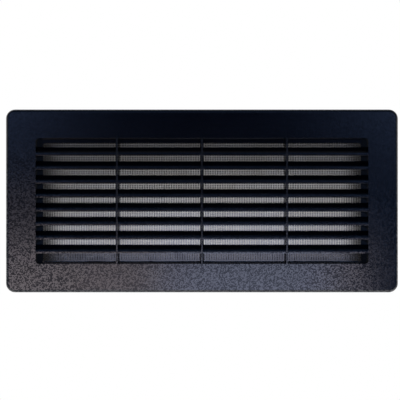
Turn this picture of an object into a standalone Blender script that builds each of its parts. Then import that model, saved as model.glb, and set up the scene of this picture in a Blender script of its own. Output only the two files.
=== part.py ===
"""Ventilation grille: a moulded plastic louvre plate with a fly screen welded behind the blades.

Metres, +Z up. The face looks along -Y and the collar points along +Y, into the wall.
The origin is the centre of the whole part's box. Depths are measured back from the face.
"""

from math import floor, pi

import bmesh
import bpy

MM = 0.001

# Face and border
FRAME_WIDTH = 300 * MM
FRAME_HEIGHT = 140 * MM
FRAME_CORNER_RADIUS = 7 * MM
FRAME_DEPTH = 4 * MM            # from the face to the rim that lies on the wall
FRAME_WALL = 2.2 * MM           # thickness of the plate and of its rim
EDGE_ROUNDING = 2.5 * MM
SIDE_BORDER = 23 * MM           # from the outer edge to the opening, at either end
LEVEL_BORDER = 22 * MM          # the same above and below
OPENING_CORNER_RADIUS = 2.5 * MM
MOUTH_CHAMFER = 0.5 * MM

# Collar that goes into the wall, with the ledge that the screen is welded to
COLLAR_REACH = 14 * MM          # from the face to the collar's back edge
COLLAR_WALL = 2.4 * MM
COLLAR_DRAFT = 0.3 * MM         # how much narrower the collar is at its back, each side
LEDGE_THICKNESS = 1.5 * MM
LEDGE_SIDE = 4 * MM             # how far the ledge reaches in from the opening's ends
LEDGE_TOP = 3.4 * MM
LEDGE_BOTTOM = 0.9 * MM
REBATE_DEPTH = 2 * MM
REBATE_RIM = 1.2 * MM           # wall left outside the rebate, before the draft

# Louvre blades
BLADE_PITCH = 10.7 * MM
BLADE_DEPTH = 4.5 * MM          # from the nose to the tail; the blades slope at nearly 45 degrees
BLADE_RISE = 4.35 * MM          # how much higher the tail's top is than the nose's top
NOSE_HEIGHT = 1.6 * MM
TAIL_HEIGHT = 1.2 * MM
BLADE_ROUNDING = 0.35 * MM
FIRST_NOSE_DROP = 12.95 * MM    # from the opening's top to the first nose's underside
LAST_GAP = 5 * MM               # least space left under the last nose
LOUVRE_RECESS = 0.5 * MM        # the noses lie this far behind the face

# Upright mullions that tie the blades together
MULLION_SPACING = 65 * MM
MULLION_FRONT_WIDTH = 1.2 * MM
MULLION_BACK_WIDTH = 1.7 * MM
MULLION_ROUNDING = 0.25 * MM
MULLION_PROUD = 0.35 * MM       # their edges stand this far in front of the noses
LEAST_BAY = 20 * MM

# Stiffening ribs in the hollow back of the border
RIB_THICKNESS = 1.2 * MM
RIB_SPACING = 32.5 * MM
RIB_SHORT_OF_WALL = 0.3 * MM

# Fly screen: a net in a thin wall, with a pressed edge that is welded to the ledge
CLEARANCE = 0.3 * MM
NET_WALL = 0.4 * MM
NET_RIDGE = 0.25 * MM           # how far a wire stands out of the wall, on either side
NET_EDGE = 2.2 * MM
WARP_PITCH = 1.88 * MM
WEFT_PITCH = 1.55 * MM
WIRE_WIDTH = 0.5 * MM
WIRE_CREST = 0.24 * MM
GAP_MARGIN = 0.08 * MM          # between an open mesh and the feet of its wires
WARPS_PER_GAP = 10
WEFTS_PER_GAP = 7

# Derived places
OPENING_WIDTH = FRAME_WIDTH - 2 * SIDE_BORDER
OPENING_HEIGHT = FRAME_HEIGHT - 2 * LEVEL_BORDER
COLLAR_WIDTH = OPENING_WIDTH + 2 * COLLAR_WALL
COLLAR_HEIGHT = OPENING_HEIGHT + 2 * COLLAR_WALL
REBATE_WIDTH = COLLAR_WIDTH - 2 * REBATE_RIM
REBATE_HEIGHT = COLLAR_HEIGHT - 2 * REBATE_RIM
REBATE_FLOOR = COLLAR_REACH - REBATE_DEPTH
LEDGE_FRONT = REBATE_FLOOR - LEDGE_THICKNESS
ROOT = COLLAR_WALL / 2          # how far blades, mullions and ribs run into the walls that hold them
OVERCUT = 1 * MM                # how far a cutter runs past the face that it opens
SAME_PLACE = 0.001 * MM         # points closer than this are one point

CORNER_SEGMENTS = 8
ROUNDING_SEGMENTS = 3


def y_at(depth):
    """Y of a plane that lies this deep behind the face."""
    return depth - COLLAR_REACH / 2


def new_collection(name):
    collection = bpy.data.collections.new(name)
    bpy.context.scene.collection.children.link(collection)
    return collection


def new_object(name, bm, collection, material=None):
    """Turn a bmesh into an object in the given collection."""
    mesh = bpy.data.meshes.new(name)
    bm.to_mesh(mesh)
    bm.free()
    if material:
        mesh.materials.append(material)
    thing = bpy.data.objects.new(name, mesh)
    collection.objects.link(thing)
    return thing


def plastic(name, colour, roughness):
    material = bpy.data.materials.new(name)
    material.use_nodes = True
    shader = material.node_tree.nodes["Principled BSDF"]
    shader.inputs["Base Color"].default_value = (*colour, 1)
    shader.inputs["Roughness"].default_value = roughness
    shader.inputs["Metallic"].default_value = 0
    material.diffuse_color = (*colour, 1)
    return material


def add_block(bm, x_range, z_range, front, back, back_inset=0):
    """Add a box between two depths; back_inset narrows its back face on all four sides."""
    verts = bmesh.ops.create_cube(bm, size=1)["verts"]
    for vert in verts:
        at_back = vert.co.y > 0
        inset = back_inset if at_back else 0
        vert.co.x = x_range[1] - inset if vert.co.x > 0 else x_range[0] + inset
        vert.co.z = z_range[1] - inset if vert.co.z > 0 else z_range[0] + inset
        vert.co.y = y_at(back if at_back else front)
    return verts


def edges_that_cross(verts, axis):
    """Edges of a block whose ends lie apart along one axis."""
    edges = {edge for vert in verts for edge in vert.link_edges}
    return [edge for edge in edges if abs(edge.verts[0].co[axis] - edge.verts[1].co[axis]) > SAME_PLACE]


def edges_on_plane(bm, y):
    return [edge for edge in bm.edges if all(abs(vert.co.y - y) < SAME_PLACE for vert in edge.verts)]


def round_edges(bm, edges, radius, segments):
    bmesh.ops.bevel(bm, geom=edges, offset=radius, offset_type="OFFSET", segments=segments,
                    profile=0.5, affect="EDGES", clamp_overlap=True)


def rounded_slab(width, height, front, back, corner_radius, back_inset=0):
    """A slab centred on the part between two depths, with its four corners rounded."""
    bm = bmesh.new()
    verts = add_block(bm, (-width / 2, width / 2), (-height / 2, height / 2), front, back, back_inset)
    round_edges(bm, edges_that_cross(verts, 1), corner_radius, CORNER_SEGMENTS)
    return bm


def combine(target, tool, operation):
    """Join a tool to the target, cut it out or keep what both hold; the tool stays as a guide."""
    change = target.modifiers.new(tool.name, "BOOLEAN")
    change.operation = operation
    change.solver = "EXACT"
    change.object = tool
    tool.hide_render = True
    tool.display_type = "WIRE"


def symmetric_places(spacing, half_span):
    """Places one spacing apart, either side of the middle, that lie within the half span."""
    steps = floor(half_span / spacing)
    return [spacing * step for step in range(-steps, steps + 1)]


def border_plate():
    """The flat face with its rounded outer edge, still solid at the back."""
    bm = rounded_slab(FRAME_WIDTH, FRAME_HEIGHT, 0, FRAME_DEPTH, FRAME_CORNER_RADIUS)
    round_edges(bm, edges_on_plane(bm, y_at(0)), EDGE_ROUNDING, ROUNDING_SEGMENTS)
    return bm


def border_hollow():
    """The space behind the face, inside the rim that lies on the wall."""
    return rounded_slab(FRAME_WIDTH - 2 * FRAME_WALL, FRAME_HEIGHT - 2 * FRAME_WALL,
                        FRAME_WALL, FRAME_DEPTH + OVERCUT, FRAME_CORNER_RADIUS - FRAME_WALL)


def collar_block():
    """The collar before it is opened, drawn in slightly towards its back."""
    bm = bmesh.new()
    add_block(bm, (-COLLAR_WIDTH / 2, COLLAR_WIDTH / 2), (-COLLAR_HEIGHT / 2, COLLAR_HEIGHT / 2),
              FRAME_WALL / 2, COLLAR_REACH, COLLAR_DRAFT)
    return bm


def border_ribs():
    """Short webs from the border's rim to the collar, all the way round."""
    bm = bmesh.new()
    half = RIB_THICKNESS / 2
    front = FRAME_WALL / 2
    back = FRAME_DEPTH - RIB_SHORT_OF_WALL
    rim_x = (FRAME_WIDTH - FRAME_WALL) / 2
    rim_z = (FRAME_HEIGHT - FRAME_WALL) / 2
    collar_x = OPENING_WIDTH / 2 + ROOT
    collar_z = OPENING_HEIGHT / 2 + ROOT
    for x in symmetric_places(RIB_SPACING, OPENING_WIDTH / 2):
        add_block(bm, (x - half, x + half), (collar_z, rim_z), front, back)
        add_block(bm, (x - half, x + half), (-rim_z, -collar_z), front, back)
    for z in symmetric_places(RIB_SPACING, OPENING_HEIGHT / 2):
        add_block(bm, (collar_x, rim_x), (z - half, z + half), front, back)
        add_block(bm, (-rim_x, -collar_x), (z - half, z + half), front, back)
    return bm


def opening_cut():
    return rounded_slab(OPENING_WIDTH, OPENING_HEIGHT, -OVERCUT, LEDGE_FRONT, OPENING_CORNER_RADIUS)


def mouth_cut():
    """A funnel that takes the sharp edge off the opening's front."""
    flare = MOUTH_CHAMFER + OVERCUT
    return rounded_slab(OPENING_WIDTH + 2 * flare, OPENING_HEIGHT + 2 * flare, -OVERCUT, flare,
                        OPENING_CORNER_RADIUS, flare + OVERCUT)


def window_cut():
    """The clear space inside the ledge that the screen covers."""
    bm = rounded_slab(OPENING_WIDTH - 2 * LEDGE_SIDE, OPENING_HEIGHT - LEDGE_TOP - LEDGE_BOTTOM,
                      LEDGE_FRONT - OVERCUT, COLLAR_REACH + OVERCUT, OPENING_CORNER_RADIUS)
    bmesh.ops.translate(bm, vec=(0, 0, (LEDGE_BOTTOM - LEDGE_TOP) / 2), verts=bm.verts)
    return bm


def rebate_cut():
    """The shallow seat for the screen in the collar's back."""
    bm = bmesh.new()
    add_block(bm, (-REBATE_WIDTH / 2, REBATE_WIDTH / 2), (-REBATE_HEIGHT / 2, REBATE_HEIGHT / 2),
              REBATE_FLOOR, COLLAR_REACH + OVERCUT)
    return bm


def mullions():
    """The thin uprights, from just in front of the noses back to the screen's seat."""
    bm = bmesh.new()
    half_height = OPENING_HEIGHT / 2 + ROOT
    front_y = y_at(LOUVRE_RECESS - MULLION_PROUD)
    back_y = y_at(REBATE_FLOOR + OVERCUT)
    for x in symmetric_places(MULLION_SPACING, OPENING_WIDTH / 2 - LEAST_BAY):
        verts = bmesh.ops.create_cube(bm, size=1)["verts"]
        for vert in verts:
            at_back = vert.co.y > 0
            half = (MULLION_BACK_WIDTH if at_back else MULLION_FRONT_WIDTH) / 2
            vert.co.x = x + (half if vert.co.x > 0 else -half)
            vert.co.y = back_y if at_back else front_y
            vert.co.z = half_height if vert.co.z > 0 else -half_height
        upright = edges_that_cross(verts, 2)
        round_edges(bm, [edge for edge in upright if edge.verts[0].co.y < 0], MULLION_ROUNDING,
                    ROUNDING_SEGMENTS)
    return bm


def blades():
    """The sloping blades: each is low at its nose and high at its tail, so that rain runs out."""
    bm = bmesh.new()
    half_length = OPENING_WIDTH / 2 + ROOT
    count = floor((OPENING_HEIGHT - FIRST_NOSE_DROP - LAST_GAP) / BLADE_PITCH) + 1
    for number in range(count):
        nose_bottom = OPENING_HEIGHT / 2 - FIRST_NOSE_DROP - number * BLADE_PITCH
        nose_top = nose_bottom + NOSE_HEIGHT
        tail_top = nose_top + BLADE_RISE
        tail_bottom = tail_top - TAIL_HEIGHT
        verts = bmesh.ops.create_cube(bm, size=1)["verts"]
        for vert in verts:
            at_tail = vert.co.y > 0
            top, bottom = (tail_top, tail_bottom) if at_tail else (nose_top, nose_bottom)
            vert.co.x = half_length if vert.co.x > 0 else -half_length
            vert.co.y = y_at(LOUVRE_RECESS + (BLADE_DEPTH if at_tail else 0))
            vert.co.z = top if vert.co.z > 0 else bottom
        round_edges(bm, edges_that_cross(verts, 0), BLADE_ROUNDING, ROUNDING_SEGMENTS)
    return bm


def grille_body(parts, guides):
    """One moulding: border, collar, ledge, blades, mullions and ribs."""
    black = plastic("black_plastic", (0.012, 0.014, 0.02), 0.25)
    body = new_object("grille_body", border_plate(), parts, black)
    combine(body, new_object("border_hollow", border_hollow(), guides), "DIFFERENCE")
    combine(body, new_object("collar", collar_block(), guides), "UNION")
    combine(body, new_object("border_ribs", border_ribs(), guides), "UNION")
    combine(body, new_object("opening", opening_cut(), guides), "DIFFERENCE")
    combine(body, new_object("mouth", mouth_cut(), guides), "DIFFERENCE")
    combine(body, new_object("window", window_cut(), guides), "DIFFERENCE")
    combine(body, new_object("mullions", mullions(), guides), "UNION")
    combine(body, new_object("blades", blades(), guides), "UNION")
    combine(body, new_object("rebate", rebate_cut(), guides), "DIFFERENCE")


def wire_places(span, pitch):
    """Middles of the wires that fit in a span, evenly about its middle."""
    count = floor(span / pitch)
    return [pitch * (number - (count - 1) / 2) for number in range(count)]


def ridged_section(half_length, wires, far, valley, crest):
    """Outline of a wall seen end on: flat on its far side, with a ridge over each wire."""
    points = [(-half_length, far), (-half_length, crest)]
    edge = half_length - NET_EDGE
    points += [(-edge, crest), (-edge, valley)]
    for wire in wires:
        points += [(wire - WIRE_WIDTH / 2, valley), (wire - WIRE_CREST / 2, crest)]
        points += [(wire + WIRE_CREST / 2, crest), (wire + WIRE_WIDTH / 2, valley)]
    points += [(edge, valley), (edge, crest), (half_length, crest), (half_length, far)]
    return points


def extruded(name, section, half_length, turn, collection, material=None):
    """A solid drawn out either way from a flat section of (along, y) points, then turned about Y."""
    curve = bpy.data.curves.new(name, "CURVE")
    curve.dimensions = "2D"
    curve.fill_mode = "BOTH"
    curve.extrude = half_length
    spline = curve.splines.new("POLY")
    spline.points.add(len(section) - 1)
    for point, (along, y) in zip(spline.points, section):
        point.co = (along, y, 0, 1)
    spline.use_cyclic_u = True
    outline = bpy.data.objects.new(name + "_outline", curve)
    outline.rotation_euler.y = turn
    collection.objects.link(outline)
    seen = bpy.context.evaluated_depsgraph_get()
    bm = bmesh.new()
    bm.from_mesh(bpy.data.meshes.new_from_object(outline.evaluated_get(seen)))
    bmesh.ops.remove_doubles(bm, verts=bm.verts, dist=SAME_PLACE)
    solid = new_object(name, bm, collection, material)
    solid.matrix_world = outline.matrix_world.copy()
    bpy.data.objects.remove(outline)
    return solid


def middle_out(count, step):
    """Every so many of a count of places, spread evenly from the middle one."""
    return range(count // 2 % step, count, step)


def open_meshes(warps, wefts):
    """Some of the net's openings, cut right through between neighbouring wires."""
    bm = bmesh.new()
    half_width = (WARP_PITCH - WIRE_WIDTH) / 2 - GAP_MARGIN
    half_height = (WEFT_PITCH - WIRE_WIDTH) / 2 - GAP_MARGIN
    for column in middle_out(len(warps) - 1, WARPS_PER_GAP):
        x = warps[column] + WARP_PITCH / 2
        for row in middle_out(len(wefts) - 1, WEFTS_PER_GAP):
            z = wefts[row] + WEFT_PITCH / 2
            add_block(bm, (x - half_width, x + half_width), (z - half_height, z + half_height),
                      REBATE_FLOOR - OVERCUT, COLLAR_REACH + OVERCUT)
    return bm


def fly_screen(parts, guides):
    """The net: upright warp wires ridge its front, level weft wires ridge its back."""
    half_width = REBATE_WIDTH / 2 - CLEARANCE
    half_height = REBATE_HEIGHT / 2 - CLEARANCE
    front_crest = REBATE_FLOOR + CLEARANCE
    front_valley = front_crest + NET_RIDGE
    back_valley = front_valley + NET_WALL
    back_crest = back_valley + NET_RIDGE
    warps = wire_places(2 * (half_width - NET_EDGE), WARP_PITCH)
    wefts = wire_places(2 * (half_height - NET_EDGE), WEFT_PITCH)
    warp_section = ridged_section(half_width, warps, y_at(back_crest + OVERCUT), y_at(front_valley),
                                  y_at(front_crest))
    weft_section = ridged_section(half_height, wefts, y_at(front_crest - OVERCUT), y_at(back_valley),
                                  y_at(back_crest))
    screen = extruded("fly_screen", warp_section, half_height, 0, parts,
                      plastic("grey_net", (0.42, 0.43, 0.45), 0.6))
    weft_side = extruded("weft_side", weft_section, half_width + OVERCUT, -pi / 2, guides)
    combine(screen, weft_side, "INTERSECT")
    combine(screen, new_object("open_meshes", open_meshes(warps, wefts), guides), "DIFFERENCE")


def build():
    for thing in list(bpy.data.objects):
        bpy.data.objects.remove(thing, do_unlink=True)
    parts = new_collection("ventilation_grille")
    guides = new_collection("grille_guides")
    grille_body(parts, guides)
    fly_screen(parts, guides)


build()
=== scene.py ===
"""A black plastic ventilation grille with a pale fly screen behind its louvre blades.

Metres, +Z up. The face looks along -Y, towards the camera, and the collar points along +Y.
"""

from math import atan, pi, radians

import bmesh
import bpy
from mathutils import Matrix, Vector


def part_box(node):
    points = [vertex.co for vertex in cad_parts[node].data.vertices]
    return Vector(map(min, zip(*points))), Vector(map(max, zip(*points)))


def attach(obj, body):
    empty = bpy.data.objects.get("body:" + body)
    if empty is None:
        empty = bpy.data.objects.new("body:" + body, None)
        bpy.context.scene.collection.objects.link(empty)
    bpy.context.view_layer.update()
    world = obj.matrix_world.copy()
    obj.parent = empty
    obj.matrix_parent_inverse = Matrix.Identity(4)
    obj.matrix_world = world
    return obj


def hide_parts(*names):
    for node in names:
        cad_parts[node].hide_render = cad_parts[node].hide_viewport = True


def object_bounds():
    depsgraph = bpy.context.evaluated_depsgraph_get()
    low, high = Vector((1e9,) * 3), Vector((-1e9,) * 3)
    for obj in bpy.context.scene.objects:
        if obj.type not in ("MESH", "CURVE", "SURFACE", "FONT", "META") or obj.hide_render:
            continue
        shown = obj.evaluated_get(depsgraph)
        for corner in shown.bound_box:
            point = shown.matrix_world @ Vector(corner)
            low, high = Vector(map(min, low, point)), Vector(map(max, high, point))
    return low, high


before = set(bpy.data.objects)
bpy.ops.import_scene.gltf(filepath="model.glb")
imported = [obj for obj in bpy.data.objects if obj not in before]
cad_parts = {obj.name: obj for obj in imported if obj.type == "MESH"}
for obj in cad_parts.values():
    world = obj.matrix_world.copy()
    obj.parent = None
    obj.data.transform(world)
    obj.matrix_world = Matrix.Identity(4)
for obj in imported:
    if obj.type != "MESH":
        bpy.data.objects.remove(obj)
cad_low, cad_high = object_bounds()

MM = 0.001


# The camera. It looks square at the face from about a metre, as the photograph does, and stands
# a touch to one side and up, so that the grille lies where it does in the photograph.
CAMERA_DISTANCE = 1050 * MM       # from the face
VIEW_WIDTH = 305.5 * MM           # how much of the face's plane the picture is wide
CAMERA_ASIDE = -1.5 * MM
CAMERA_UP = 0.7 * MM

lens = bpy.data.cameras.new("camera")
lens.sensor_fit = "HORIZONTAL"
lens.angle = 2 * atan(VIEW_WIDTH / 2 / CAMERA_DISTANCE)
camera = bpy.data.objects.new("camera", lens)
camera.location = (CAMERA_ASIDE, cad_low.y - CAMERA_DISTANCE, CAMERA_UP)
camera.rotation_euler = (pi / 2, 0, 0)
bpy.context.scene.collection.objects.link(camera)
bpy.context.scene.camera = camera
bpy.context.scene.view_settings.view_transform = "Standard"


# The room. It is white behind the grille and a dim blue in front of it. The glossy face mirrors
# a dark patch round the camera in its middle, and blue windows towards its upper corners. The
# camera sees plain white all round, and the border's round rim mirrors the same white.
ROOM_FRONT = (0.04, 0.07, 0.14, 1)
ROOM_BACK = (0.75, 0.75, 0.77, 1)
WINDOW = (0.33, 0.48, 0.95, 1)
DARK_PATCH = (0.0, 0.004, 0.015, 1)
WHITE = (1, 1, 1, 1)
PATCH_SIDES = (0.06, 0.18)        # slopes of a view, aside or up, at which a step starts and ends
PATCH_ENDS = (0.16, 0.30)
WINDOW_FOOT = (0.01, 0.09)
WINDOW_TOP = (0.25, 0.35)
WINDOW_SIDES = (0.35, 0.50)
FRONT_TO_BACK = (-0.1, 0.3)       # parts of a view's direction, away from the camera, up or down
RIM_SIDES = (-0.75, -0.1)
RIM_TOP = (-0.1, 0.5)
RIM_FOOT = (0.42, 0.52)


class Wire:
    """A shader socket that takes part in Python sums; each operator adds a Math node."""

    def __init__(self, graph, socket):
        self.graph = graph
        self.socket = socket

    def maths(self, operation, *values):
        return self.graph.add("ShaderNodeMath", {"operation": operation}, dict(enumerate(values)))

    def __add__(self, other):
        return self.maths("ADD", self, other)

    def __radd__(self, other):
        return self.maths("ADD", other, self)

    def __sub__(self, other):
        return self.maths("SUBTRACT", self, other)

    def __rsub__(self, other):
        return self.maths("SUBTRACT", other, self)

    def __mul__(self, other):
        return self.maths("MULTIPLY", self, other)

    def __rmul__(self, other):
        return self.maths("MULTIPLY", other, self)

    def __truediv__(self, other):
        return self.maths("DIVIDE", self, other)

    def __mod__(self, other):
        return self.maths("FLOORED_MODULO", self, other)

    def __abs__(self):
        return self.maths("ABSOLUTE", self)

    def root(self):
        return self.maths("SQRT", self)

    def eased(self, low, high):
        """0 at the first value and 1 at the second, with an eased step between them."""
        settings = {"interpolation_type": "SMOOTHSTEP"}
        inputs = {"Value": self, "From Min": low, "From Max": high}
        return self.graph.add("ShaderNodeMapRange", settings, inputs)


class Graph:
    """A node tree that is built from Python."""

    MIX_LOW = 6                   # a Mix node's sockets for two colours, and for what they give
    MIX_HIGH = 7
    MIX_RESULT = 2

    def __init__(self, tree):
        self.tree = tree
        tree.nodes.clear()

    def node(self, kind, settings=None, inputs=None):
        node = self.tree.nodes.new(kind)
        for name, value in (settings or {}).items():
            setattr(node, name, value)
        for name, value in (inputs or {}).items():
            if isinstance(value, Wire):
                self.tree.links.new(value.socket, node.inputs[name])
            else:
                node.inputs[name].default_value = value
        return node

    def add(self, kind, settings=None, inputs=None, output=0):
        """Add a node and give the wire from one of its outputs."""
        return Wire(self, self.node(kind, settings, inputs).outputs[output])

    def split(self, vector):
        """The X, Y and Z of a vector."""
        node = self.node("ShaderNodeSeparateXYZ", {}, {"Vector": vector})
        return [Wire(self, socket) for socket in node.outputs]

    def colour(self, factor, low, high):
        """One colour where the factor is 0 and the other where it is 1."""
        inputs = {"Factor": factor, self.MIX_LOW: low, self.MIX_HIGH: high}
        return self.add("ShaderNodeMix", {"data_type": "RGBA"}, inputs, self.MIX_RESULT)


world = bpy.data.worlds.new("room")
world.use_nodes = True
bpy.context.scene.world = world
room = Graph(world.node_tree)
across, away, up = room.split(room.add("ShaderNodeTexCoord"))
behind = away.eased(*FRONT_TO_BACK)
beside = abs(across / away)
above = up / away * -1
past_patch = beside.eased(*PATCH_SIDES)
over_patch = abs(above).eased(*PATCH_ENDS)
pane = above.eased(*WINDOW_FOOT) * (1 - above.eased(*WINDOW_TOP)) * (1 - beside.eased(*WINDOW_SIDES))
wall = room.colour(pane, ROOM_FRONT, WINDOW)
in_front = room.colour(past_patch + over_patch - past_patch * over_patch, DARK_PATCH, wall)
lit = room.colour(behind, in_front, ROOM_BACK)
ray = room.node("ShaderNodeLightPath").outputs
seen = Wire(room, ray["Is Camera Ray"])
mirrored = Wire(room, ray["Is Glossy Ray"])
through = Wire(room, ray["Is Transmission Ray"])
rim_view = away.eased(*RIM_SIDES) * (1 - up.eased(*RIM_TOP)) + (up * -1).eased(*RIM_FOOT)
white_share = room.add("ShaderNodeClamp", {}, {"Value": seen + rim_view * mirrored + behind * through})
sky = room.add("ShaderNodeBackground", {}, {"Color": room.colour(white_share, lit, WHITE)})
room.node("ShaderNodeOutputWorld", {}, {"Surface": sky})


# The floor. It is a plain white studio floor, a metre under the grille and clear of the lamps,
# which the camera sees as pure white. The border mirrors the room's own pale foot in its place.
FLOOR_DROP = 1.0
FLOOR_REACH = 3.0
FLOOR_PAINT = (0.9, 0.9, 0.9, 1)


def finished_mesh(bm, name):
    mesh = bpy.data.meshes.new(name)
    bm.to_mesh(mesh)
    bm.free()
    return mesh


def placed(mesh, material):
    """An object at the origin that has one material."""
    mesh.materials.clear()
    mesh.materials.append(material)
    thing = bpy.data.objects.new(mesh.name, mesh)
    bpy.context.scene.collection.objects.link(thing)
    return thing


def new_material(name):
    """A material with no nodes yet, and the graph to build them in."""
    material = bpy.data.materials.new(name)
    material.use_nodes = True
    return material, Graph(material.node_tree)


def floor_material():
    """White paint that also glows, for the camera alone, as bright as white can show."""
    material, graph = new_material("studio_floor")
    seen = graph.add("ShaderNodeLightPath", output="Is Camera Ray")
    glow = graph.add("ShaderNodeEmission", {}, {"Color": WHITE, "Strength": seen})
    paint = graph.add("ShaderNodeBsdfDiffuse", {}, {"Color": FLOOR_PAINT})
    surface = graph.add("ShaderNodeAddShader", {}, {0: glow, 1: paint})
    graph.node("ShaderNodeOutputMaterial", {}, {"Surface": surface})
    return material


bm = bmesh.new()
bmesh.ops.create_grid(bm, x_segments=1, y_segments=1, size=FLOOR_REACH)
bmesh.ops.translate(bm, vec=(0, 0, -FLOOR_DROP), verts=bm.verts)
floor = placed(finished_mesh(bm, "studio_floor"), floor_material())
floor.visible_glossy = False


# The lamps. A wide softbox stands low in front, with a smaller one to its left and a bluish
# window beside it, and the border mirrors all three. A spotlight shines up between the blades
# at 45 degrees; its wide soft-edged beam fades from the net's lower rows to its upper ones.
SPOT_PLACE = (0.0, -0.70, -0.75)
SPOT_AIM = (0.01, 0.0, -0.046)
SPOT_COLOUR = (0.97, 0.98, 1)
SPOT_WATTS = 92
SPOT_CONE = 0.126                 # radians, from side to side
SPOT_STRETCH = 4.2                # how much wider than high the beam is
SPOT_RADIUS = 20 * MM


def hang(lamp, place, target):
    """Put a lamp in its place and turn it towards its target."""
    thing = bpy.data.objects.new(lamp.name, lamp)
    thing.location = place
    thing.rotation_euler = (Vector(target) - Vector(place)).to_track_quat("-Z", "Y").to_euler()
    bpy.context.scene.collection.objects.link(thing)
    return thing


def softbox(name, place, size, radiance, colour):
    """A rectangle of light that looks along +Y.

    Its radiance is what a white sheet would show if the rectangle filled its view.
    """
    lamp = bpy.data.lights.new(name, "AREA")
    lamp.shape = "RECTANGLE"
    lamp.size, lamp.size_y = size
    lamp.energy = radiance * pi * size[0] * size[1]
    lamp.color = colour
    return hang(lamp, place, (place[0], 0, place[2]))


softbox("low_softbox", place=(-0.18, -1.0, -0.30), size=(0.84, 0.46),
        radiance=1.45, colour=(1, 0.86, 0.88))
softbox("left_softbox", place=(-0.36, -1.0, -0.03), size=(0.30, 0.10),
        radiance=0.25, colour=(1, 0.80, 0.75))
softbox("low_window", place=(0.07, -0.98, -0.30), size=(0.26, 0.46),
        radiance=0.9, colour=(0.05, 0.40, 1))
beam = bpy.data.lights.new("low_spot", "SPOT")
beam.energy = SPOT_WATTS
beam.color = SPOT_COLOUR
beam.spot_size = SPOT_CONE
beam.spot_blend = 1.0
beam.shadow_soft_size = SPOT_RADIUS
spot = hang(beam, SPOT_PLACE, SPOT_AIM)
spot.scale = (SPOT_STRETCH, 1, 1)
spot.visible_glossy = False


# What lies behind the grille, as far as it shows through the net: a dark sheet with a pale
# pool of light on it, right of its middle and low. It shows from its front alone.
SHEET_WIDTH = 256 * MM
SHEET_HEIGHT = 98 * MM
SHEET_GAP = 0.3 * MM              # from the collar's back edge
SHEET_DARK = (0.012, 0.011, 0.010, 1)
SHEET_PALE = (0.15, 0.156, 0.212, 1)
POOL_X = 10 * MM
POOL_Z = -33 * MM
POOL_REACH_X = 230 * MM
POOL_REACH_Z = 48 * MM
POOL_ENDS = (104 * MM, 124 * MM)  # it also fades out towards the sheet's ends


def rectangle(left, foot, right, top):
    """The X and Z of its corners, going round it."""
    return [(left, foot), (right, foot), (right, top), (left, top)]


def sheet_material():
    """A dim glow on the sheet's front; its back is clear."""
    material, graph = new_material("backing_sheet")
    x, y, z = graph.split(graph.add("ShaderNodeTexCoord", output="Object"))
    aside = (x - POOL_X) / POOL_REACH_X
    over = (z - POOL_Z) / POOL_REACH_Z
    pool = 1 - (aside * aside + over * over).root().eased(0, 1)
    pool = pool * (1 - abs(x).eased(*POOL_ENDS))
    glow = graph.add("ShaderNodeEmission", {}, {"Color": graph.colour(pool, SHEET_DARK, SHEET_PALE)})
    clear = graph.add("ShaderNodeBsdfTransparent")
    at_back = graph.add("ShaderNodeNewGeometry", output="Backfacing")
    surface = graph.add("ShaderNodeMixShader", {}, {0: at_back, 1: glow, 2: clear})
    graph.node("ShaderNodeOutputMaterial", {}, {"Surface": surface})
    return material


bm = bmesh.new()
outline = rectangle(-SHEET_WIDTH / 2, -SHEET_HEIGHT / 2, SHEET_WIDTH / 2, SHEET_HEIGHT / 2)
bm.faces.new([bm.verts.new((x, cad_high.y + SHEET_GAP, z)) for x, z in outline])
sheet = placed(finished_mesh(bm, "backing_sheet"), sheet_material())
sheet.visible_shadow = False
sheet.visible_diffuse = False


# The grille: border, collar, blades and mullions are one moulding in glossy black plastic
# with a fine grain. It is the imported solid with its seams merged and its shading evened, its
# blades' edges and mouth made crisp, and the webs added that close the opening beside the net.
SEAM = 0.002 * MM                 # corners nearer to each other than this are one
FLAT = radians(0.2)               # an edge that bends less than this is left out
CREASE = radians(40)              # an edge that bends more than this stays sharp
LARGE_FACES_LEAD = 100            # the shading's weight: small faces take it from large ones
OPENING_WIDTH = 254 * MM
OPENING_HEIGHT = 96 * MM
MOUTH_RIM = 1 * MM                # all of the mouth's chamfer lies this near the opening
MOUTH_SHARPNESS = 0.8             # how much of that chamfer's width is drawn in
BLADE_PITCH = 10.7 * MM
NOSE_FOOT = -7.63 * MM            # just under the lowest line of one nose
TAIL_TOP = -1.92 * MM             # just over the highest line of its tail
NOSE_DEPTH = 0.65 * MM            # the middle of a nose's rounding, behind the face
TAIL_DEPTH = 4.85 * MM
ROUNDING_REACH = 0.3 * MM
BLADE_DRAW = 0.45 * MM            # how far either edge of a blade is drawn out
LOUVRE_HALF_HEIGHT = 43 * MM      # all of the blades' edges lie between this and its opposite
WEB_HALF_HEIGHT = 47.9 * MM
END_WEB = ((0.4, 8), (5.3, 10.6), (0.4, 10.6))   # mm in from the net's end, and behind the face
MULLION_FOOT = ((-0.8, 10.9), (-1.4, 11.5), (-1.4, 11.98), (1.4, 11.98), (1.4, 11.5), (0.8, 10.9))
MULLION_PLACES = (-65 * MM, 0, 65 * MM)
PLASTIC_DARK = (0.0008, 0.0015, 0.0036, 1)
PLASTIC_LIGHT = (0.0012, 0.0020, 0.0046, 1)
PLASTIC_CLOUDS = (0.3, 0.7)       # noise at which the darker plastic starts to turn lighter
GLOSS = 0.11                      # the least roughness, and how much the clouds add to it
GLOSS_SPREAD = 0.06
GRAIN_SIZE = 0.8 * MM
GRAIN_DEPTH = 0.020 * MM
GRAIN_FADE = (1.0 * MM, 2.5 * MM) # depths behind the face over which the grain ends
GRAIN_EDGE = (0.4, 0.6)           # from a dull grain to a bright one
MEAN_COAT = 0.5
TOP_LOSS = 0.7                    # share of the grains' contrast that is lost at the top
TOP_HEIGHTS = (0, 35 * MM)
TOP_LEAN = 0.1                    # how much lower that starts for each metre to the right
MIDDLE_SHARE = 0.65               # share of the contrast that is left midway between the ends
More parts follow.
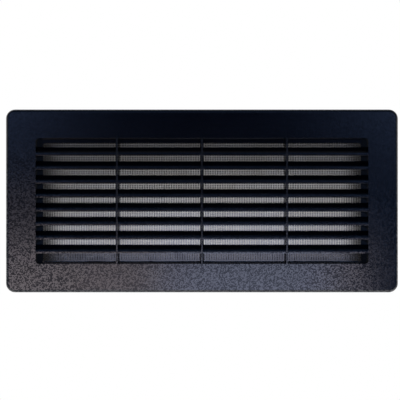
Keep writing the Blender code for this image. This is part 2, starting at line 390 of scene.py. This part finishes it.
END_PLACES = (60 * MM, 130 * MM)

net_low, net_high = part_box("fly_screen")


def sharpen_mouth(bm):
    """Draw in the chamfer of the opening's front edge, which looks almost sharp."""
    for vert in bm.verts:
        at_side = abs(vert.co.x) < OPENING_WIDTH / 2 + MOUTH_RIM
        at_level = abs(vert.co.z) < OPENING_HEIGHT / 2 + MOUTH_RIM
        if at_side and at_level and vert.co.y < cad_low.y + SEAM:
            inner = max((edge.other_vert(vert) for edge in vert.link_edges), key=lambda other: other.co.y)
            vert.co.x += (inner.co.x - vert.co.x) * MOUTH_SHARPNESS
            vert.co.z += (inner.co.z - vert.co.z) * MOUTH_SHARPNESS


def draw_out_blades(bm):
    """Draw each nose's foot down and each tail's top up, where their edges were rounded off."""
    for vert in bm.verts:
        depth = vert.co.y - cad_low.y
        over_nose = (vert.co.z - NOSE_FOOT) % BLADE_PITCH
        under_tail = (TAIL_TOP - vert.co.z) % BLADE_PITCH
        inside = abs(vert.co.x) < OPENING_WIDTH / 2 + SEAM and abs(vert.co.z) < LOUVRE_HALF_HEIGHT
        if inside and abs(depth - NOSE_DEPTH) < ROUNDING_REACH and over_nose < ROUNDING_REACH:
            vert.co.z -= BLADE_DRAW
        elif inside and abs(depth - TAIL_DEPTH) < ROUNDING_REACH and under_tail < ROUNDING_REACH:
            vert.co.z += BLADE_DRAW


def faces_between(bm, first, second):
    """The faces that join two rings of as many corners."""
    faces = []
    for here in range(len(first)):
        there = (here + 1) % len(first)
        faces.append(bm.faces.new((first[here], first[there], second[there], second[here])))
    return faces


def add_web(bm, outline):
    """An upright closed web with this outline of X and depth, from the opening's foot to its top."""
    foot, top = ([bm.verts.new((x, cad_low.y + depth, z)) for x, depth in outline]
                 for z in (-WEB_HALF_HEIGHT, WEB_HALF_HEIGHT))
    bm.faces.new(foot)
    bm.faces.new(top)
    faces_between(bm, foot, top)


def add_webs(bm):
    """The sloping webs at the opening's ends, and the mullions' feet, which the net lies on."""
    for side in (-1, 1):
        add_web(bm, [(side * (net_high.x - inset * MM), depth * MM) for inset, depth in END_WEB])
    for place in MULLION_PLACES:
        add_web(bm, [(place + x * MM, depth * MM) for x, depth in MULLION_FOOT])


def applied(thing):
    """An object's mesh with its modifiers applied. The object goes."""
    evaluated = thing.evaluated_get(bpy.context.evaluated_depsgraph_get())
    mesh = bpy.data.meshes.new_from_object(evaluated)
    bpy.data.objects.remove(thing)
    return mesh


def moulding_mesh():
    """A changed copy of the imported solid, smooth except at its creases."""
    bm = bmesh.new()
    bm.from_mesh(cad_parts["grille_body"].data)
    bmesh.ops.remove_doubles(bm, verts=bm.verts, dist=SEAM)
    bmesh.ops.dissolve_limit(bm, angle_limit=FLAT, verts=bm.verts, edges=bm.edges)
    sharpen_mouth(bm)
    draw_out_blades(bm)
    add_webs(bm)
    for face in bm.faces:
        face.smooth = True
    bmesh.ops.recalc_face_normals(bm, faces=bm.faces)
    for edge in bm.edges:
        edge.smooth = edge.is_manifold and edge.calc_face_angle() < CREASE
    rough = bpy.data.objects.new("rough", finished_mesh(bm, "rough"))
    bpy.context.scene.collection.objects.link(rough)
    even_shading = rough.modifiers.new("even_shading", "WEIGHTED_NORMAL")
    even_shading.keep_sharp = True
    even_shading.weight = LARGE_FACES_LEAD
    mesh = applied(rough)
    mesh.name = "grille_moulding"
    return mesh


def body_material():
    """Black plastic whose face has a coat of dull and bright grains, made bolder below and at its ends as
    a painted reflection.
    """
    material, graph = new_material("body_plastic")
    place = graph.add("ShaderNodeTexCoord", output="Object")
    x, y, z = graph.split(place)
    cloud = graph.add("ShaderNodeTexNoise", {}, {"Vector": place, "Scale": 45.0, "Detail": 4.0})
    tone = graph.colour(cloud.eased(*PLASTIC_CLOUDS), PLASTIC_DARK, PLASTIC_LIGHT)
    grains = graph.node("ShaderNodeTexVoronoi", {}, {"Vector": place, "Scale": 1 / GRAIN_SIZE}).outputs
    bump = graph.add("ShaderNodeBump", {}, {
        "Height": Wire(graph, grains["Distance"]), "Strength": 1.0, "Distance": GRAIN_DEPTH})
    bright = graph.split(Wire(graph, grains["Color"]))[0].eased(*GRAIN_EDGE)
    at_face = 1 - (y - cad_low.y).eased(*GRAIN_FADE)
    # Painted reflection: the grains' contrast in the coat fades towards the top and grows towards the
    # ends.
    upward = 1 - TOP_LOSS * (z + TOP_LEAN * x).eased(*TOP_HEIGHTS)
    outward = MIDDLE_SHARE + (1 - MIDDLE_SHARE) * abs(x).eased(*END_PLACES)
    coat = at_face * (MEAN_COAT + (bright - MEAN_COAT) * (upward * outward))
    shader = graph.add("ShaderNodeBsdfPrincipled", {}, {
        "Base Color": tone, "Roughness": GLOSS + GLOSS_SPREAD * cloud, "Normal": bump, "IOR": 1.35,
        "Coat Weight": coat, "Coat Roughness": 0.13, "Coat IOR": 1.75})
    graph.node("ShaderNodeOutputMaterial", {}, {"Surface": shader})
    return material


body = placed(moulding_mesh(), body_material())
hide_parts("grille_body")
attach(body, "root")


# The fly screen: a plain weave of stiff pale threads, in which upright and level threads pass
# in front of each other by turns. The fused hem round it is welded to the grille's ledge.
WARP_PITCH = 1.88 * MM
WEFT_PITCH = 1.55 * MM
THREAD_WIDTH = 0.52 * MM
THREAD_THICKNESS = 0.40 * MM
THREAD_SIDES = 5
THREAD_WANDER = 0.12 * MM
THREAD_SEED = 3
HEM = 2.7 * MM
HEM_THICKNESS = 0.6 * MM
HEM_ROUNDING = 0.12 * MM
NET_COOL = (0.385, 0.378, 0.37, 1)
NET_WARM = (0.345, 0.328, 0.305, 1)
NET_CLOUDS = (0.35, 0.65)         # noise at which the warmer plastic starts to turn cooler
NET_GLOSS = 0.45                  # the least roughness, and how much the dust adds to it
NET_GLOSS_SPREAD = 0.2
DUST_DEPTH = 0.03 * MM
NET_SHADED = (0.03, 0.03, 0.032, 1)
PAINTED_SHADE = 0.95                      # how dark the painted shade makes the net where it is deepest
END_SHADE = (106 * MM, 123 * MM)  # painted shade towards the net's ends, up to the hem
HEM_EDGE = (124.8 * MM, 125.4 * MM)
FOOT_SHADE = (-41 * MM, -37 * MM) # painted shade in blots along the net's foot
FOOT_SHADE_BLOTS = (0.5, 0.62)
FOOT_SHADE_SHARE = 0.8
TOP_SHADE = (14 * MM, 44 * MM)    # a little painted shade towards the net's top
TOP_SHADE_SHARE = 0.3

net_y = (net_low.y + net_high.y) / 2


def net_material():
    """Pale dusty plastic, warmer and cooler by turns, with painted shade at its ends, foot and top."""
    material, graph = new_material("net_plastic")
    place = graph.add("ShaderNodeTexCoord", output="Object")
    x, y, z = graph.split(place)
    cloud = graph.add("ShaderNodeTexNoise", {}, {"Vector": place, "Scale": 30.0, "Detail": 3.0})
    dust = graph.add("ShaderNodeTexNoise", {}, {"Vector": place, "Scale": 700.0, "Detail": 2.0})
    blot = graph.add("ShaderNodeTexNoise", {}, {"Vector": place, "Scale": 85.0, "Detail": 2.0})
    # Painted shade towards the net's ends
    at_ends = abs(x).eased(*END_SHADE) * (1 - abs(x).eased(*HEM_EDGE))
    # Painted shade in blots along the net's foot
    at_foot = blot.eased(*FOOT_SHADE_BLOTS) * (1 - z.eased(*FOOT_SHADE)) * FOOT_SHADE_SHARE
    # A little painted shade towards the net's top
    at_top = z.eased(*TOP_SHADE) * TOP_SHADE_SHARE
    unshaded = (1 - at_ends) * (1 - at_foot) * (1 - at_top)
    tone = graph.colour(cloud.eased(*NET_CLOUDS), NET_WARM, NET_COOL)
    tone = graph.colour((1 - unshaded) * PAINTED_SHADE, tone, NET_SHADED)
    bump = graph.add("ShaderNodeBump", {}, {"Height": dust, "Strength": 0.5, "Distance": DUST_DEPTH})
    shader = graph.add("ShaderNodeBsdfPrincipled", {}, {
        "Base Color": tone, "Roughness": NET_GLOSS + NET_GLOSS_SPREAD * dust, "Normal": bump, "IOR": 1.5})
    graph.node("ShaderNodeOutputMaterial", {}, {"Surface": shader})
    return material


def woven_mesh(width, height, material):
    """Wavy threads, each turned half round from its neighbour, so that the two sets weave."""
    inputs = {
        "Warps": ("NodeSocketInt", int(width / WARP_PITCH)),
        "Wefts": ("NodeSocketInt", int(height / WEFT_PITCH)),
        "Warp Pitch": ("NodeSocketFloat", WARP_PITCH),
        "Weft Pitch": ("NodeSocketFloat", WEFT_PITCH),
        "Thread Width": ("NodeSocketFloat", THREAD_WIDTH),
        "Thread Sides": ("NodeSocketInt", THREAD_SIDES),
        "Wander": ("NodeSocketFloat", THREAD_WANDER),
        "Material": ("NodeSocketMaterial", material),
    }
    graph = Graph(bpy.data.node_groups.new("woven_net", "GeometryNodeTree"))
    for label, (kind, value) in inputs.items():
        graph.tree.interface.new_socket(label, in_out="INPUT", socket_type=kind)
    graph.tree.interface.new_socket("Geometry", in_out="OUTPUT", socket_type="NodeSocketGeometry")
    group = graph.node("NodeGroupInput")
    given = {label: Wire(graph, group.outputs[label]) for label in inputs}
    odd = graph.add("GeometryNodeInputIndex") % 2
    ring = graph.add("GeometryNodeCurvePrimitiveCircle", {}, {
        "Resolution": given["Thread Sides"], "Radius": given["Thread Width"] / 2})

    def along_axis(axis, value):
        """A vector that has one part."""
        return graph.add("ShaderNodeCombineXYZ", {}, {axis: value})

    def row(axis, count, pitch):
        """Evenly spaced points on an axis, about its middle."""
        return graph.add("GeometryNodeMeshLine", {"mode": "OFFSET"}, {
            "Count": count, "Offset": along_axis(axis, pitch),
            "Start Location": along_axis(axis, pitch * (count - 1) * -0.5)})

    def thread_set(axis, crossings, crossing_pitch, other_axis, count, pitch, first_wave):
        """Threads that run along one axis and lie side by side along the other."""
        wave = (odd * 2 - 1) * given["Thread Width"] * 0.5 * first_wave
        line = graph.add("GeometryNodeSetPosition", {}, {
            "Geometry": row(axis, crossings + 1, crossing_pitch), "Offset": along_axis("Y", wave)})
        curve = graph.add("GeometryNodeMeshToCurve", {}, {"Mesh": line})
        thread = graph.add("GeometryNodeCurveToMesh", {}, {"Curve": curve, "Profile Curve": ring})
        stray = graph.add("FunctionNodeRandomValue", {}, {
            2: given["Wander"] * -0.5, 3: given["Wander"] * 0.5, "Seed": THREAD_SEED}, output=1)
        places = graph.add("GeometryNodeSetPosition", {}, {
            "Geometry": row(other_axis, count, pitch), "Offset": along_axis(other_axis, stray)})
        turn = graph.add("FunctionNodeEulerToRotation", {}, {"Euler": along_axis(axis, odd * pi)})
        return graph.add("GeometryNodeInstanceOnPoints", {}, {
            "Points": places, "Instance": thread, "Rotation": turn})

    warps = given["Warps"], given["Warp Pitch"]
    wefts = given["Wefts"], given["Weft Pitch"]
    upright = thread_set("Z", *wefts, "X", *warps, first_wave=1.0)
    level = thread_set("X", *warps, "Z", *wefts, first_wave=-1.0)
    join = graph.node("GeometryNodeJoinGeometry")
    for threads in (upright, level):
        graph.tree.links.new(threads.socket, join.inputs["Geometry"])
    net = graph.add("GeometryNodeRealizeInstances", {}, {"Geometry": Wire(graph, join.outputs[0])})
    net = graph.add("GeometryNodeSetShadeSmooth", {}, {"Geometry": net})
    net = graph.add("GeometryNodeSetMaterial", {}, {"Geometry": net, "Material": given["Material"]})
    graph.node("NodeGroupOutput", {}, {"Geometry": net})

    holder = placed(bpy.data.meshes.new("weave"), material)
    modifier = holder.modifiers.new("woven_net", "NODES")
    modifier.node_group = graph.tree
    for item in graph.tree.interface.items_tree:
        if item.in_out == "INPUT":
            modifier[item.identifier] = inputs[item.name][1]
    return applied(holder)


def add_hem(bm):
    """The flat frame round the net, with its edges eased."""
    rings = []
    for inset in (0, HEM):
        outline = rectangle(net_low.x + inset, net_low.z + inset, net_high.x - inset, net_high.z - inset)
        for y in (net_y - HEM_THICKNESS / 2, net_y + HEM_THICKNESS / 2):
            rings.append([bm.verts.new((x, y, z)) for x, z in outline])
    outer_front, outer_back, inner_front, inner_back = rings
    made = []
    for first, second in ((outer_back, outer_front), (outer_front, inner_front),
                          (inner_front, inner_back), (inner_back, outer_back)):
        made += faces_between(bm, first, second)
    bmesh.ops.recalc_face_normals(bm, faces=made)
    edges = list({edge for face in made for edge in face.edges if edge.calc_face_angle() > CREASE})
    bmesh.ops.bevel(bm, geom=edges, offset=HEM_ROUNDING, offset_type="OFFSET", segments=2,
                    profile=0.5, affect="EDGES")


net_plastic = net_material()
bm = bmesh.new()
bm.from_mesh(woven_mesh(net_high.x - net_low.x - 2 * HEM, net_high.z - net_low.z - 2 * HEM, net_plastic))
for vert in bm.verts:
    vert.co.y = net_y + vert.co.y * THREAD_THICKNESS / THREAD_WIDTH
add_hem(bm)
net = placed(finished_mesh(bm, "woven_net"), net_plastic)
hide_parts("fly_screen")
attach(net, "root")
